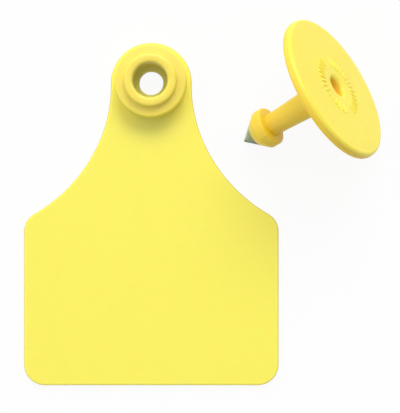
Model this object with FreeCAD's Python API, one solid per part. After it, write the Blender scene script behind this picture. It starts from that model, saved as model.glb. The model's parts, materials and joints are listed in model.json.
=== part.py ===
import FreeCAD, Part
import math
import os

# Two-piece livestock ear tag, not yet applied: the panel lies on its back, and the button that will
# lock it in the ear lies beside it. Millimetres, +Z up. The origin is the centre of the stud hole in
# the back face of the panel, +Z runs along the hole towards the socket, and the panel hangs along -Y.

# Button: a flat disc, a hollow tapered stud, and an arrow head with a metal point
disc_d = 32.4            # outer disc, which stays on the back of the ear
disc_t = 2.0
disc_face_r = 0.5        # rounding of the rim at the outer face
disc_back_bevel = 0.35   # bevel of the rim at the stud side
stud_root_d = 6.5        # stud where it leaves the disc
stud_neck_d = 5.1        # straight neck behind the head, which turns in the panel's hole
neck_play = 0.6          # neck that is left beyond the floor of the socket
stud_l = 15.8            # from the disc to the back of the head
root_flare = 0.8         # the stud widens by this at its foot, over the same height
head_d = 8.8             # widest part of the arrow head
head_band_l = 2.2        # straight band behind the cone
head_back_bevel = 0.55   # bevel of the band's back edge
cone_l = 5.9             # from the band to the point

# Blind bore in the button for the pin of the applicator
pin_bore_d = 3.2
pin_web = 1.5            # solid moulding left between the bore and the metal point's shank
pin_mouth_d = 4.4        # the bore opens out to this at the outer face
pin_mouth_l = 4.0        # length of the tapered entry
pin_lip_bevel = 0.45     # bevelled lip of the entry

# Metal point: the bare end of the cone, on a grooved shank inside the head
point_bare_l = 3.8
point_flat_l = 0.12      # length by which the very tip is cut off flat
shank_d = 2.4
shank_l = 3.4
groove_d = 1.7           # the moulding grips the shank in these grooves
groove_w = 0.6
groove_count = 2

# Socket boss on the panel: a wide step, and on it a low ring round the mouth of the cavity
hole_clear = 0.15        # round the stud's neck, so that the panel can turn
cavity_clear = 0.2       # round the head
band_clear = 0.5         # above the head's band
floor_t = 1.6            # wall that the head locks behind
lip_in = 0.8             # overhang of the mouth over the cavity
mouth_land = 2.0         # height of the mouth above the overhang
mouth_lip_r = 0.6        # rounded inner lip of the mouth
ring_wall = 1.15         # the ring is this much wider than the cavity, all round
ring_r = 0.5             # rounding of the ring's upper edge
step_ledge = 2.1         # width of the step outside the ring
step_h = 4.2             # height of the step above the plate
step_edge_bevel = 0.35   # bevel of the step's upper edge

# Panel: a flat plate with a round head, two hollow flanks, and a broad square body
plate_t = 1.4
panel_w = 57.0
panel_drop = 67.6        # from the stud hole down to the bottom edge
head_margin = 1.2        # plate that shows round the step
flank_start = 0.7        # degrees below the hole at which the head turns into the flank
flank_upper_r = 31.3
flank_turn = 24.0        # degrees that the upper stretch of the flank turns
flank_lower_r = 34.8
shoulder_r = 4.6
corner_r = 4.7
edge_bevel = 0.35        # bevel round the plate's front face; the back edge is left square

# Where the button lies beside the panel
button_x = 39.75         # centre of the disc's outer face, seen from above
button_y = -2.4
button_heading = 209.2   # degrees in plan, from the disc towards the point

# For the modelling only
past = 1.0               # how far a cutting solid runs past the face that it opens
tolerance = 1e-6

# Sizes that follow from those above
hole_d = stud_neck_d + 2 * hole_clear
cavity_d = head_d + 2 * cavity_clear
mouth_d = cavity_d - 2 * lip_in
ring_d = cavity_d + 2 * ring_wall
step_d = ring_d + 2 * step_ledge
round_head_r = step_d / 2 + head_margin
step_top = plate_t + step_h
cavity_top = floor_t + head_band_l + band_clear
ring_top = cavity_top + lip_in + mouth_land
rim_along = disc_t - disc_back_bevel
head_back = disc_t + stud_l
neck_start = head_back - floor_t - neck_play
head_front = head_back + head_band_l
button_l = head_front + cone_l
metal_start = button_l - point_bare_l
pin_bore_l = metal_start - shank_l - pin_web


def polar(centre, radius, degrees):
    """Point at a distance and direction from a centre, in the XY plane."""
    angle = math.radians(degrees)
    return centre + FreeCAD.Vector(radius * math.cos(angle), radius * math.sin(angle), 0)


def arc(centre, radius, start, end):
    """Arc edge about a centre between two directions in degrees."""
    middle = (start + end) / 2
    ends = [polar(centre, radius, degrees) for degrees in (start, middle, end)]
    return Part.Arc(*ends).toShape()


def line(start, end):
    return Part.LineSegment(start, end).toShape()


def section(corners):
    """Closed face in the XZ plane from corners (radius, height) or (radius, height, rounding)."""
    points = [FreeCAD.Vector(corner[0], 0, corner[1]) for corner in corners]
    rounds = [corner[2] if len(corner) > 2 else 0 for corner in corners]
    starts = []
    ends = []
    arcs = []
    for index, point in enumerate(points):
        back = (points[index - 1] - point).normalize()
        ahead = (points[(index + 1) % len(points)] - point).normalize()
        half_angle = back.getAngle(ahead) / 2
        reach = rounds[index] / math.tan(half_angle)
        starts.append(point + back * reach)
        ends.append(point + ahead * reach)
        if rounds[index]:
            inward = (back + ahead).normalize()
            middle = point + inward * (rounds[index] / math.sin(half_angle) - rounds[index])
            arcs.append(Part.Arc(starts[-1], middle, ends[-1]).toShape())
        else:
            arcs.append(None)
    edges = []
    for index, corner_arc in enumerate(arcs):
        following = starts[(index + 1) % len(starts)]
        if corner_arc:
            edges.append(corner_arc)
        if not ends[index].isEqual(following, tolerance):
            edges.append(line(ends[index], following))
    return Part.Face(Part.Wire(edges))


def turned(corners):
    """Solid of revolution about Z."""
    return section(corners).revolve(FreeCAD.Vector(0, 0, 0), FreeCAD.Vector(0, 0, 1), 360)


def panel_outline():
    """Outline of the plate: its right half, from the top of the head to the bottom, and a mirror."""
    origin = FreeCAD.Vector(0, 0, 0)
    upper = polar(origin, round_head_r + flank_upper_r, -flank_start)
    join = 180 + flank_turn
    lower = polar(upper, flank_upper_r - flank_lower_r, join)
    side_x = panel_w / 2
    shoulder_x = side_x - shoulder_r
    fall = math.sqrt((flank_lower_r + shoulder_r) ** 2 - (lower.x - shoulder_x) ** 2)
    shoulder = FreeCAD.Vector(shoulder_x, lower.y - fall, 0)
    turn_end = math.degrees(math.atan2(fall, lower.x - shoulder_x))
    corner = FreeCAD.Vector(side_x - corner_r, corner_r - panel_drop, 0)
    half = [
        arc(origin, round_head_r, 90, -flank_start),
        arc(upper, flank_upper_r, 180 - flank_start, join),
        arc(lower, flank_lower_r, join, 180 + turn_end),
        arc(shoulder, shoulder_r, turn_end, 0),
        line(polar(shoulder, shoulder_r, 0), polar(corner, corner_r, 0)),
        arc(corner, corner_r, 0, -90),
        line(polar(corner, corner_r, -90), FreeCAD.Vector(0, -panel_drop, 0)),
    ]
    other = [edge.mirror(origin, FreeCAD.Vector(1, 0, 0)) for edge in half]
    return Part.Wire(Part.__sortEdges__(half + other))


def panel():
    """Plate with a bevelled front edge, the stepped boss on it, and the hole and socket through both."""
    plate = Part.Face(panel_outline()).extrude(FreeCAD.Vector(0, 0, plate_t))
    rim = [edge for edge in plate.Edges if edge.BoundBox.ZMin > plate_t / 2]
    plate = plate.makeChamfer(edge_bevel, rim)
    boss = turned([
        (0, plate_t / 2),
        (step_d / 2, plate_t / 2),
        (step_d / 2, step_top - step_edge_bevel),
        (step_d / 2 - step_edge_bevel, step_top),
        (ring_d / 2, step_top),
        (ring_d / 2, ring_top, ring_r),
        (0, ring_top),
    ])
    lip = mouth_d / 2 + mouth_lip_r
    socket = turned([
        (0, -past),
        (hole_d / 2, -past),
        (hole_d / 2, floor_t),
        (cavity_d / 2, floor_t),
        (cavity_d / 2, cavity_top),
        (mouth_d / 2, cavity_top + lip_in),
        (mouth_d / 2, ring_top, mouth_lip_r),
        (lip, ring_top),
        (lip, ring_top + past),
        (0, ring_top + past),
    ])
    return plate.fuse(boss).cut(socket).removeSplitter()


def cone_radius(along):
    """Radius of the arrow head's cone at a distance from the disc's outer face."""
    return head_d / 2 * (button_l - along) / cone_l


def metal_point():
    """Cone with a grooved shank, standing on its shank along +Z in the button's own frame."""
    shank_start = metal_start - shank_l
    land = (shank_l - groove_count * groove_w) / (groove_count + 1)
    corners = [(0, shank_start), (shank_d / 2, shank_start)]
    for number in range(groove_count):
        groove_start = shank_start + land + number * (land + groove_w)
        groove_end = groove_start + groove_w
        corners += [
            (shank_d / 2, groove_start),
            (groove_d / 2, groove_start),
            (groove_d / 2, groove_end),
            (shank_d / 2, groove_end),
        ]
    corners += [(shank_d / 2, metal_start), (cone_radius(metal_start), metal_start)]
    flat_end = button_l - point_flat_l
    corners += [(cone_radius(flat_end), flat_end), (0, flat_end)]
    return turned(corners)


def button(point):
    """Disc, stud and arrow head as one moulding, with the pin bore and a seat for the metal point."""
    body = turned([
        (0, 0),
        (disc_d / 2, 0, disc_face_r),
        (disc_d / 2, disc_t - disc_back_bevel),
        (disc_d / 2 - disc_back_bevel, disc_t),
        (stud_root_d / 2 + root_flare, disc_t),
        (stud_root_d / 2, disc_t + root_flare),
        (stud_neck_d / 2, neck_start),
        (stud_neck_d / 2, head_back),
        (head_d / 2 - head_back_bevel, head_back),
        (head_d / 2, head_back + head_back_bevel),
        (head_d / 2, head_front),
        (cone_radius(metal_start), metal_start),
        (0, metal_start),
    ])
    lip = pin_mouth_d / 2 + pin_lip_bevel
    bore = turned([
        (0, -past),
        (lip, -past),
        (lip, 0),
        (pin_mouth_d / 2, pin_lip_bevel),
        (pin_bore_d / 2, pin_mouth_l),
        (pin_bore_d / 2, pin_bore_l),
        (0, pin_bore_l),
    ])
    return body.cut(bore).cut(point)


def lean(along, radius):
    """Slope at which the button touches the ground with its rim and with an edge nearer the point."""
    return math.atan2(disc_d / 2 - radius, along - rim_along)


def laid_down(shape):
    """The button as it comes to rest on the rim of its disc and the edge of its head or its point."""
    flat_end = button_l - point_flat_l
    slope = min(lean(head_front, head_d / 2), lean(flat_end, cone_radius(flat_end)))
    height = rim_along * math.sin(slope) + disc_d / 2 * math.cos(slope)
    heading = math.radians(button_heading)
    axis = FreeCAD.Vector(math.cos(heading), math.sin(heading), -math.tan(slope))
    turn = FreeCAD.Rotation(FreeCAD.Vector(0, 0, 1), axis)
    place = FreeCAD.Placement(FreeCAD.Vector(button_x, button_y, height), turn)
    laid = shape.copy()
    laid.Placement = place
    return laid


point = metal_point()
nodes = {
    "tag_panel": panel(),
    "stud_button": laid_down(button(point)),
    "piercing_tip": laid_down(point),
}
os.makedirs("parts", exist_ok=True)
for name, shape in nodes.items():
    shape.exportStep("parts/" + name + ".step")
    print(name, shape.isValid(), len(shape.Solids), round(shape.Volume, 2), shape.BoundBox)
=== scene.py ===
import json
import math

import bmesh
import bpy
from mathutils import Matrix, Vector


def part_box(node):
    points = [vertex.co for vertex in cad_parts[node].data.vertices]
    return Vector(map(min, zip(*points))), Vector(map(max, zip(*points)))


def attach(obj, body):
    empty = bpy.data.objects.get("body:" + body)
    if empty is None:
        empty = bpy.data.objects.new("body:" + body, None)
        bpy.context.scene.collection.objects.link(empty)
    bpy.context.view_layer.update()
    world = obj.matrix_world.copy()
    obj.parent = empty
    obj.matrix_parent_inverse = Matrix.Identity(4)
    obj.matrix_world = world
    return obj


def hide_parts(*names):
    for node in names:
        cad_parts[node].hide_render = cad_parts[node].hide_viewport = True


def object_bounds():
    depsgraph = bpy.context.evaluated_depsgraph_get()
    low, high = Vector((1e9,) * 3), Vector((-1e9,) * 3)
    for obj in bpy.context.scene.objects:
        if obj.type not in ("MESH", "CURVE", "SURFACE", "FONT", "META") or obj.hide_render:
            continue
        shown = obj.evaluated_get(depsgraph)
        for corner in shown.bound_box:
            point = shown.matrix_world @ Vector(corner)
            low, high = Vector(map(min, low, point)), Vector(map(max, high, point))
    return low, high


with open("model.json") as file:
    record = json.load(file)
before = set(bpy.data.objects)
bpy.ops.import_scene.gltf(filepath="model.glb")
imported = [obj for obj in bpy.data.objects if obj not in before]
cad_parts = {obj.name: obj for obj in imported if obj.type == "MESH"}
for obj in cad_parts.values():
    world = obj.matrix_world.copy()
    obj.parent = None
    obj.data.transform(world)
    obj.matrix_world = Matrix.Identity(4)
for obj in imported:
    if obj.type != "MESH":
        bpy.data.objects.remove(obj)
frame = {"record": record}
cad_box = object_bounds()
mounts = {mount["name"]: mount for mount in frame["record"]["mounts"]}


# ---- Tag panel -------------------------------------------------------------------------------
# The female half: one injection moulding of soft yellow polyurethane. A flat plate hangs from a
# stepped boss, whose undercut cavity snaps over the arrow head of the button.

panel_low, panel_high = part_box("tag_panel")
plate_t = mounts["panel_front"]["pos_m"][2]
hole_r = mounts["stud_hole"]["dims"]["r_mm"] / 1000
floor_t = mounts["stud_hole"]["dims"]["length_mm"] / 1000
cavity_r = 0.0046
cavity_top = 0.0043
mouth_r = 0.0038
mouth_bottom = 0.0051
mouth_lip = 0.0006
ring_r = 0.00575
ring_edge = 0.0005
step_r = 0.00785
step_top = 0.0056
step_edge = 0.00035
foot = 0.0002
plate_edge = 0.00035
flank_start = 0.7
flank_upper_r = 0.0313
flank_turn = 24.0
flank_lower_r = 0.0348
shoulder_r = 0.0046
corner_r = 0.0047
edge_loop = 0.00005
turn_steps = 180
round_steps = 4
head_steps = 46
upper_steps = 14
lower_steps = 20
shoulder_steps = 16
corner_steps = 24


def turned(corners, steps):
    """Turns corners (radius, height) or (radius, height, rounding) about Z."""
    mesh = bmesh.new()
    points = [mesh.verts.new((corner[0], 0, corner[1])) for corner in corners]
    lines = [mesh.edges.new(pair) for pair in zip(points, points[1:])]
    centre = (0, 0, 0)
    bmesh.ops.spin(mesh, geom=points + lines, cent=centre, axis=(0, 0, 1), angle=math.tau,
                   steps=steps, use_merge=True, use_duplicate=False)
    bmesh.ops.remove_doubles(mesh, verts=mesh.verts, dist=1e-6)
    for index, corner in enumerate(corners):
        if len(corner) > 2:
            here = Vector(corner[:2])
            arms = [Vector(corners[index + step][:2]) - here for step in (-1, 1)]
            reach = corner[2] / math.tan(arms[0].angle(arms[1]) / 2)
            round_ring(mesh, here, reach)
    return mesh


def on_ring(vertex, ring):
    return (Vector((vertex.co.xy.length, vertex.co.z)) - ring).length < 1e-6


def round_ring(mesh, ring, reach):
    """Rounds the circular edge at (radius, height)."""
    edges = [edge for edge in mesh.edges if all(on_ring(vertex, ring) for vertex in edge.verts)]
    bmesh.ops.bevel(mesh, geom=edges, offset=reach, offset_type="OFFSET", segments=round_steps,
                    profile=0.5, affect="EDGES", material=-1, clamp_overlap=False)


def finished(mesh, name):
    """Object from a closed mesh: faces outward, shaded smooth over its rounded edges."""
    bmesh.ops.remove_doubles(mesh, verts=mesh.verts, dist=1e-7)
    bmesh.ops.recalc_face_normals(mesh, faces=mesh.faces)
    data = bpy.data.meshes.new(name)
    mesh.to_mesh(data)
    mesh.free()
    data.shade_smooth()
    data.set_sharp_from_angle(angle=math.radians(40))
    piece = bpy.data.objects.new(name, data)
    bpy.context.scene.collection.objects.link(piece)
    normals = piece.modifiers.new("flat_faces_stay_flat", "WEIGHTED_NORMAL")
    normals.keep_sharp = True
    return piece


def swept(mesh, start, centre, degrees, steps):
    """Draws an arc about a centre from a vertex, and gives the vertex at its end."""
    arc = bmesh.ops.spin(mesh, geom=[start], cent=(*centre, 0), axis=(0, 0, 1),
                         angle=math.radians(degrees), steps=steps, use_duplicate=False)
    return [item for item in arc["geom_last"] if isinstance(item, bmesh.types.BMVert)][0]


def plate_outline(mesh):
    """Closed outline of the plate at its back face: the right half is drawn, and then mirrored."""
    head_r = panel_high.y
    half_w = panel_high.x
    upper = Vector((math.cos(math.radians(-flank_start)), math.sin(math.radians(-flank_start))))
    upper *= head_r + flank_upper_r
    join = math.radians(180 + flank_turn)
    lower = upper + (flank_upper_r - flank_lower_r) * Vector((math.cos(join), math.sin(join)))
    shoulder_x = half_w - shoulder_r
    fall = math.sqrt((flank_lower_r + shoulder_r) ** 2 - (lower.x - shoulder_x) ** 2)
    shoulder = Vector((shoulder_x, lower.y - fall))
    turn_end = math.degrees(math.atan2(fall, lower.x - shoulder_x))
    corner = Vector((half_w - corner_r, panel_low.y + corner_r))
    end = mesh.verts.new((0, head_r, 0))
    end = swept(mesh, end, (0, 0), -90 - flank_start, head_steps)
    end = swept(mesh, end, upper, flank_turn + flank_start, upper_steps)
    end = swept(mesh, end, lower, turn_end - flank_turn, lower_steps)
    end = swept(mesh, end, shoulder, -turn_end, shoulder_steps)
    side = mesh.verts.new((half_w, corner.y, 0))
    mesh.edges.new((end, side))
    end = swept(mesh, side, corner, -90, corner_steps)
    foot_middle = mesh.verts.new((0, panel_low.y, 0))
    mesh.edges.new((end, foot_middle))
    bmesh.ops.mirror(mesh, geom=mesh.verts[:] + mesh.edges[:], axis="X", merge_dist=1e-6)


def panel_mesh():
    """Plate with a rounded front edge, joined to the turned boss at its foot and its hole."""
    mesh = bmesh.new()
    plate_outline(mesh)
    bmesh.ops.remove_doubles(mesh, verts=mesh.verts, dist=1e-6)
    back = bmesh.ops.contextual_create(mesh, geom=mesh.edges[:])["faces"]
    front = bmesh.ops.extrude_face_region(mesh, geom=back)["geom"]
    lifted = [item for item in front if isinstance(item, bmesh.types.BMVert)]
    bmesh.ops.translate(mesh, vec=(0, 0, plate_t), verts=lifted)
    rim = [edge for edge in mesh.edges if all(vertex.co.z > plate_t / 2 for vertex in edge.verts)]
    bmesh.ops.bevel(mesh, geom=rim, offset=plate_edge, offset_type="OFFSET", segments=round_steps,
                    profile=0.5, affect="EDGES", material=-1)
    flats = [face for face in mesh.faces if len(face.verts) > 4]
    bmesh.ops.inset_region(mesh, faces=flats, thickness=edge_loop, use_even_offset=True)
    flats = [face for face in mesh.faces if len(face.verts) > 4]
    bmesh.ops.delete(mesh, geom=flats, context="FACES_ONLY")
    boss = turned([
        (step_r + foot + edge_loop, plate_t),
        (step_r, plate_t, foot),
        (step_r, step_top, step_edge),
        (ring_r, step_top, foot),
        (ring_r, panel_high.z, ring_edge),
        (mouth_r, panel_high.z, mouth_lip),
        (mouth_r, mouth_bottom),
        (cavity_r, cavity_top),
        (cavity_r, floor_t, foot),
        (hole_r, floor_t),
        (hole_r, 0),
    ], turn_steps)
    boss_data = bpy.data.meshes.new("boss")
    boss.to_mesh(boss_data)
    boss.free()
    mesh.from_mesh(boss_data)
    bpy.data.meshes.remove(boss_data)
    for height in (0, plate_t):
        rims = [edge for edge in mesh.edges if edge.is_boundary
                and all(abs(vertex.co.z - height) < 1e-6 for vertex in edge.verts)]
        bmesh.ops.triangle_fill(mesh, edges=rims, use_beauty=True, use_dissolve=False,
                                normal=(0, 0, 1))
    return mesh


class Value:
    """Output of a shader node; arithmetic on it adds the Math nodes that work it out."""

    def __init__(self, finish, socket):
        self.finish = finish
        self.socket = socket

    def math(self, operation, *values):
        inputs = dict(enumerate(values))
        return self.finish.node("ShaderNodeMath", {"operation": operation}, inputs)[0]

    def __add__(self, other):
        return self.math("ADD", self, other)

    def __sub__(self, other):
        return self.math("SUBTRACT", self, other)

    def __rsub__(self, other):
        return self.math("SUBTRACT", other, self)

    def __mul__(self, other):
        return self.math("MULTIPLY", self, other)

    def ramp(self, low, high):
        """0 below low, 1 above high, smooth in between."""
        inputs = {"Value": self, "From Min": low, "From Max": high}
        settings = {"interpolation_type": "SMOOTHSTEP"}
        return self.finish.node("ShaderNodeMapRange", settings, inputs)["Result"]


class Nodes:
    """Node tree of a material or of the room."""

    def __init__(self, tree):
        self.tree = tree

    def node(self, kind, settings=None, inputs=None):
        """Adds a node, sets it up, fills its sockets, and gives its outputs by name or number."""
        made = self.tree.nodes.new(kind)
        for name, value in (settings or {}).items():
            setattr(made, name, value)
        for name, value in (inputs or {}).items():
            self.plug(made.inputs[name], value)
        outputs = {output.name: Value(self, output) for output in made.outputs if output.enabled}
        outputs.update(enumerate(list(outputs.values())))
        return outputs

    def plug(self, socket, value):
        if isinstance(value, Value):
            self.tree.links.new(value.socket, socket)
        else:
            socket.default_value = value

    def mix(self, factor, first, second):
        inputs = {0: factor, 6: first, 7: second}
        return self.node("ShaderNodeMix", {"data_type": "RGBA"}, inputs)["Result"]

    def vector_math(self, operation, *values):
        inputs = dict(enumerate(values))
        return self.node("ShaderNodeVectorMath", {"operation": operation}, inputs)

    def along(self, vector, direction):
        """Length of a vector along a direction."""
        return self.vector_math("DOT_PRODUCT", vector, direction)["Value"]

    def seen(self):
        """1 for rays from the camera, a reflection or clear plastic, 0 for rays that light."""
        path = self.node("ShaderNodeLightPath")
        camera_ray = path["Is Camera Ray"]
        direct = camera_ray.math("MAXIMUM", camera_ray, path["Is Glossy Ray"])
        return direct.math("MAXIMUM", direct, path["Is Transmission Ray"])


class Finish(Nodes):
    """Procedural material: a Principled shader and the nodes that vary over the piece."""

    def __init__(self, name):
        self.material = bpy.data.materials.new(name)
        self.material.use_nodes = True
        super().__init__(self.material.node_tree)
        self.shader = self.tree.nodes["Principled BSDF"]
        self.place = self.node("ShaderNodeTexCoord")["Object"]

    def noise(self, size, detail=2.0):
        """Soft noise from 0 to 1 whose features are about this size."""
        inputs = {"Vector": self.place, "Scale": 1 / size, "Detail": detail}
        return self.node("ShaderNodeTexNoise", None, inputs)[0]

    def set(self, **sockets):
        """Fills the shader's sockets, named in small letters with underscores."""
        for name, value in sockets.items():
            label = name.replace("_", " ").title().replace("Ior", "IOR")
            self.plug(self.shader.inputs[label], value)

    def relief(self, height, depth):
        """Bump of a height from 0 to 1 that stands this deep."""
        inputs = {"Height": height, "Distance": depth, "Strength": 1.0}
        return self.node("ShaderNodeBump", None, inputs)["Normal"]

    def distance(self, point, flatten=(1, 1, 1)):
        """Distance of the shaded point from a point, with the directions scaled first."""
        scaled = self.vector_math("MULTIPLY", self.place, flatten)[0]
        return self.vector_math("DISTANCE", scaled, point)["Value"]

    def moulded(self, colour, roughness, reflection):
        """Soft plastic with a fine mould grain, a little of the light bleeding through it."""
        grain_size = 0.00035
        grain_depth = 0.000012
        grain_gloss = 0.08
        bleed = 0.0006
        bleed_colours = (1.0, 0.8, 0.5)
        grain = self.noise(grain_size)
        self.set(base_color=colour, roughness=grain * grain_gloss + roughness,
                 normal=self.relief(grain, grain_depth))
        self.set(specular_ior_level=reflection, subsurface_weight=1.0, subsurface_scale=bleed)
        self.set(subsurface_radius=bleed_colours)


def panel_finish():
    """Satin polyurethane with faint flow clouds, warm on the boss, with painted shade in its
    socket and along the plate's rounded rim, and a painted shadow below the boss.
    """
    finish = Finish("panel_polyurethane")
    # Beside the plastic's own lemon and warm colours, three colours here are painted shade: for
    # the rounded rim, the socket's walls and the shadow below the boss.
    lemon = (0.920, 0.840, 0.085, 1)
    rim = (0.600, 0.520, 0.050, 1)
    dark_shade = (0.560, 0.600, 0.190, 1)
    warm = (0.860, 0.720, 0.072, 1)
    boss_shadow = (0.800, 0.760, 0.110, 1)
    warm_share, cloud_share, socket_shade_share, rim_shade_share = 0.95, 0.04, 0.6, 0.8
    cloud_size = 0.009
    warm_rise = 0.0005
    lip_depth = 1.2 * mouth_lip
    rim_slope = 0.25
    rim_rise = 0.0001
    shadow_near = 0.001
    shadow_far = 0.008
    clouds = finish.noise(cloud_size, 3.0)
    height = finish.along(finish.place, (0, 0, 1))
    at_boss = height.ramp(plate_t, plate_t + warm_rise)
    colour = finish.mix(at_boss * warm_share + clouds * cloud_share, lemon, warm)
    # Painted shade: the socket's walls below the lip are painted darker and greener where shade
    # falls in the recess.
    in_socket = 1 - finish.distance((0, 0, 0), (1, 1, 0)).ramp(mouth_r, mouth_r + mouth_lip)
    below_lip = 1 - height.ramp(panel_high.z - lip_depth, panel_high.z)
    colour = finish.mix(in_socket * below_lip * socket_shade_share, colour, dark_shade)
    # Painted shade: the plate's rounded outer edge, which turns away from the light, is painted
    # darker.
    outward = 1 - finish.along(finish.node("ShaderNodeNewGeometry")["Normal"], (0, 0, 1))
    at_rim = outward.ramp(0.0, rim_slope) * (1 - height.ramp(plate_t, plate_t + rim_rise))
    colour = finish.mix(at_rim * rim_shade_share, colour, rim)
    # Painted shadow: the plate just below the boss is painted darker and less yellow where the
    # boss casts its shadow, fading with distance.
    below_boss = 1 - finish.distance((0, -step_r, 0), (1, 1, 0)).ramp(shadow_near, shadow_far)
    colour = finish.mix(below_boss * (1 - height.ramp(plate_t, step_top)), colour, boss_shadow)
    finish.moulded(colour, roughness=0.5, reflection=1.0)
    return finish.material


panel = finished(panel_mesh(), "panel")
panel.data.materials.append(panel_finish())
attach(panel, "root")
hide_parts("tag_panel")


# ---- Button ----------------------------------------------------------------------------------
# The male half: one injection moulding of the same polyurethane. A disc stays behind the ear, and
# its hollow stud carries the arrow head through the ear and into the panel's cavity.

axis = Vector(mounts["arrow_head"]["axis"])
head_back = 0.0178
face_centre = Vector(mounts["arrow_head"]["pos_m"]) - axis * head_back
bore_r = mounts["applicator_bore"]["dims"]["r_mm"] / 1000
bore_l = 0.0172
bore_taper = 0.0040
bore_mouth_r = 0.0023
bore_lip = 0.0009
bore_end_edge = 0.0004
disc_r = 0.0162
disc_t = 0.0020
disc_face_edge = 0.0008
disc_back_edge = 0.0004
parting = 0.00135
parting_half = 0.00012
parting_height = 0.00009
stud_root_r = 0.00325
stud_neck_r = 0.00255
neck_start = 0.0156
root_flare = 0.0008
head_r = 0.0044
head_back_edge = 0.00055
head_front = 0.0200
head_front_edge = 0.00015
button_l = 0.0259
metal_start = 0.0221
marks_inner_r = 0.0048
marks_outer_r = 0.0068
mark_pitch = 5
mark_width = 2
mark_slope = 0.00012
mark_height = 0.00024
seam_angle = 70.0
seam_height = 0.00008
seam_end = metal_start - 0.0001
speck_r = 0.0106
speck_angle = -11.1


def cone_r(distance):
    """Radius of the arrow head's cone at a distance from the disc's face."""
    return head_r * (button_l - distance) / (button_l - head_front)


def button_place():
    """Turns +Z along the stud and moves the origin to the middle of the disc's face."""
    return Matrix.Translation(face_centre) @ axis.to_track_quat("Z", "Y").to_matrix().to_4x4()


def button_mesh():
    mesh = turned([
        (0, bore_l),
        (bore_r, bore_l, bore_end_edge),
        (bore_r, bore_taper),
        (bore_mouth_r, 0, bore_lip),
        (marks_inner_r, 0),
        (marks_outer_r, 0),
        (disc_r - parting_height, 0, disc_face_edge),
        (disc_r - parting_height, parting - parting_half),
        (disc_r, parting),
        (disc_r - parting_height, parting + parting_half),
        (disc_r - parting_height, disc_t, disc_back_edge),
        (stud_root_r, disc_t, root_flare),
        (stud_neck_r, neck_start),
        (stud_neck_r, head_back),
        (head_r, head_back, head_back_edge),
        (head_r, head_front, head_front_edge),
        (cone_r(metal_start), metal_start),
        (0, metal_start),
    ], turn_steps)
    bmesh.ops.recalc_face_normals(mesh, faces=mesh.faces)
    marks = []
    for face in mesh.faces:
        middle = face.calc_center_median()
        if abs(middle.z) < 1e-6 and marks_inner_r < middle.xy.length < marks_outer_r:
            column = int(math.degrees(math.atan2(middle.y, middle.x)) % 360 * turn_steps / 360)
            if column % mark_pitch < mark_width and column % (turn_steps // 2) > 2 * mark_pitch:
                marks.append(face)
    bmesh.ops.inset_region(mesh, faces=marks, thickness=mark_slope, depth=mark_height,
                           use_even_offset=True)
    seam_side = Vector((math.cos(math.radians(seam_angle)), math.sin(math.radians(seam_angle))))
    for vertex in mesh.verts:
        outside = vertex.co.xy.length > bore_r and disc_t < vertex.co.z < seam_end
        if outside and vertex.co.xy.angle(seam_side) < math.radians(180 / turn_steps):
            vertex.co.xy += seam_side * seam_height
    bmesh.ops.transform(mesh, matrix=button_place(), verts=mesh.verts)
    return mesh


def button_finish():
    """The same plastic with painted shade: deeper and warmer towards the disc's rim, the stud and
    the head, and darker in the bore.
    """
    finish = Finish("button_polyurethane")
    # The second colour is painted shade and also the mottle's colour; the third is painted shade
    # in the bore.
    lemon = (0.895, 0.770, 0.066, 1)
    mottle_and_shade = (0.900, 0.640, 0.030, 1)
    bore_shade = (0.910, 0.540, 0.035, 1)
    soot = (0.35, 0.33, 0.12, 1)
    shade_share, cloud_share, bore_shade_share = 0.75, 0.05, 0.8
    mottle_share, speck_share = 0.35, 0.6
    cloud_size = 0.006
    mottle_size = 0.0004
    edge_near, edge_far = 0.0003, 0.0012
    bore_near, bore_far = 0.0005, 0.0015
    mouth_blur, end_blur = 0.0004, 0.0002
    speck_near, speck_far = 0.00008, 0.00028
    depth = finish.along(finish.place, axis) - face_centre.dot(axis)
    clouds = finish.noise(cloud_size, 3.0)
    # Painted shade: behind the disc's face, the rim, the stud and the head are painted deeper and
    # warmer where they sit in shade; the same deeper colour also draws the random mottle on the
    # face.
    inside = depth.ramp(edge_near, edge_far)
    colour = finish.mix(inside * shade_share + clouds * cloud_share, lemon, mottle_and_shade)
    from_face = finish.vector_math("SUBTRACT", finish.place, face_centre)[0]
    from_axis = finish.vector_math("CROSS_PRODUCT", from_face, axis)[0]
    off_axis = finish.vector_math("LENGTH", from_axis)["Value"]
    # Painted shade: the inside of the bore is painted darker and warmer where shade falls in it.
    near_axis = 1 - off_axis.ramp(bore_mouth_r, bore_mouth_r + mouth_blur)
    in_bore = near_axis * depth.ramp(bore_near, bore_far)
    before_end = 1 - depth.ramp(bore_l, bore_l + end_blur)
    colour = finish.mix(in_bore * before_end * bore_shade_share, colour, bore_shade)
    mottle = finish.noise(mottle_size, 1.0).ramp(0.45, 0.75)
    colour = finish.mix(mottle * (1 - inside) * mottle_share, colour, mottle_and_shade)
    angle = math.radians(speck_angle)
    speck_at = button_place() @ Vector((speck_r * math.cos(angle), speck_r * math.sin(angle), 0))
    speck = 1 - finish.distance(speck_at).ramp(speck_near, speck_far)
    colour = finish.mix(speck * speck_share, colour, soot)
    finish.moulded(colour, roughness=0.38, reflection=0.7)
    return finish.material


button = finished(button_mesh(), "button")
button.data.materials.append(button_finish())
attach(button, "root")
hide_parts("stud_button")


# ---- Metal point -----------------------------------------------------------------------------
# A small turned cone moulded into the arrow head, which pierces the ear. Its grooved shank is
# gripped by the plastic, and only the cone shows.

point_flat = 0.00012


def point_mesh():
    mesh = turned([
        (0, metal_start),
        (cone_r(metal_start), metal_start),
        (cone_r(button_l - point_flat), button_l - point_flat),
        (0, button_l - point_flat),
    ], turn_steps // 2)
    bmesh.ops.transform(mesh, matrix=button_place(), verts=mesh.verts)
    return mesh


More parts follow.
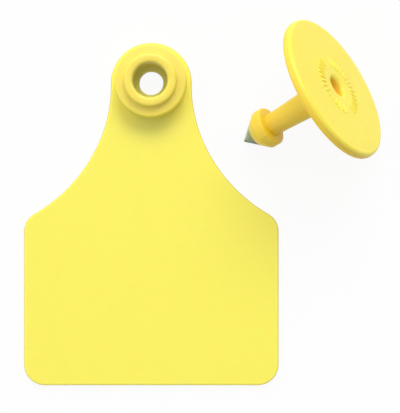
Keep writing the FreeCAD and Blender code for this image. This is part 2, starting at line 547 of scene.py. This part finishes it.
def point_finish():
    """Dull turned metal with fine tool marks round the cone, a few darker stains and painted shade
    on its lower side.
    """
    finish = Finish("turned_metal")
    bright = (0.50, 0.60, 0.34, 1)
    dark_shade = (0.12, 0.14, 0.11, 1)
    shade_side = (0.4, -0.9, 0.1)
    stain_size = 0.0012
    mark_step = 0.00016
    mark_depth = 0.000004
    stains = finish.noise(stain_size, 3.0)
    normal = finish.node("ShaderNodeNewGeometry")["Normal"]
    # Painted shade: the cone's side turned away from the light is painted darker, in the same dark
    # colour that draws the stains.
    underside_shade = finish.along(normal, shade_side).ramp(-0.6, 0.5)
    depth = finish.along(finish.place, axis)
    marks = depth.math("SINE", depth * (math.tau / mark_step))
    colour = finish.mix(stains.ramp(0.35, 0.7) * 0.3 + underside_shade * 0.7, bright, dark_shade)
    finish.set(base_color=colour, metallic=0.3, roughness=stains * 0.2 + 0.4)
    finish.set(normal=finish.relief(marks, mark_depth))
    return finish.material


tip = finished(point_mesh(), "tip")
tip.data.materials.append(point_finish())
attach(tip, "root")
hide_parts("piercing_tip")


# ---- Table, light and camera -----------------------------------------------------------------
# A plain white table under both halves, a large soft box beyond the top of the panel, and a
# camera straight above.

box_low, box_high = cad_box
middle = (box_low + box_high) / 2
table_size = 2.0
paper_white = 0.92


def table_finish():
    """White card that shows to the camera as plain white and still takes the soft shadow."""
    finish = Finish("white_card")
    fibre_size = 0.0008
    shade = (0.78, 0.78, 0.78, 1)
    light = (0.82, 0.82, 0.82, 1)
    fibre = finish.noise(fibre_size, 3.0)
    card = finish.mix(fibre, shade, light)
    finish.set(base_color=card, roughness=fibre * 0.1 + 0.8, specular_ior_level=0.0)
    glow = finish.node("ShaderNodeEmission", None, {"Color": (1, 1, 1, 1), "Strength": 1.0})[0]
    card_shader = Value(finish, finish.shader.outputs[0])
    inputs = {0: finish.seen() * paper_white, 1: card_shader, 2: glow}
    both = finish.node("ShaderNodeMixShader", None, inputs)[0]
    output = finish.tree.nodes["Material Output"]
    finish.tree.links.new(both.socket, output.inputs["Surface"])
    return finish.material


card_mesh = bmesh.new()
bmesh.ops.create_grid(card_mesh, x_segments=1, y_segments=1, size=table_size / 2)
bmesh.ops.translate(card_mesh, vec=(middle.x, middle.y, box_low.z), verts=card_mesh.verts)
card_data = bpy.data.meshes.new("table")
card_mesh.to_mesh(card_data)
card_mesh.free()
table = bpy.data.objects.new("table", card_data)
bpy.context.scene.collection.objects.link(table)
table.data.materials.append(table_finish())

room_bright = 1.25
room_dim = 0.30
room_heading = (-0.64, 0.77, 0)
room_spread = 0.9
world = bpy.data.worlds.new("soft_room")
bpy.context.scene.world = world
world.use_nodes = True
room = Nodes(world.node_tree)
towards_top = room.along(room.node("ShaderNodeTexCoord")["Generated"], room_heading)
room_share = towards_top.ramp(-room_spread, room_spread)
room_light = room_share * (room_bright - room_dim) + room_dim
room_seen = room.seen()
background = world.node_tree.nodes["Background"]
room.plug(background.inputs["Color"], (1, 1, 1, 1))
room.plug(background.inputs["Strength"], room_seen + (1 - room_seen) * room_light)


def soft_box(name, place, width, height, radiance):
    """Rectangular lamp aimed at the middle of the table."""
    lamp = bpy.data.lights.new(name, "AREA")
    lamp.shape = "RECTANGLE"
    lamp.size = width
    lamp.size_y = height
    lamp.energy = radiance * math.pi * width * height
    box = bpy.data.objects.new(name, lamp)
    box.location = place
    box.rotation_euler = (middle - Vector(place)).to_track_quat("-Z", "Y").to_euler()
    bpy.context.scene.collection.objects.link(box)


key_distance = 1.5
key_elevation = math.radians(42)
key_heading = math.radians(78)
key_width = 1.0
key_height = 0.70
key_radiance = 5.3
key_place = middle + key_distance * Vector((
    math.cos(key_heading) * math.cos(key_elevation),
    math.sin(key_heading) * math.cos(key_elevation),
    math.sin(key_elevation)))
soft_box("key", key_place, key_width, key_height, key_radiance)

camera_place = (0.0109, -0.02759, 0.2012)
lens = 77.9
sensor = 36.0
camera_data = bpy.data.cameras.new("camera")
camera_data.lens = lens
camera_data.sensor_width = sensor
camera = bpy.data.objects.new("camera", camera_data)
camera.location = camera_place
bpy.context.scene.collection.objects.link(camera)
bpy.context.scene.camera = camera

bpy.context.scene.view_settings.view_transform = "Standard"
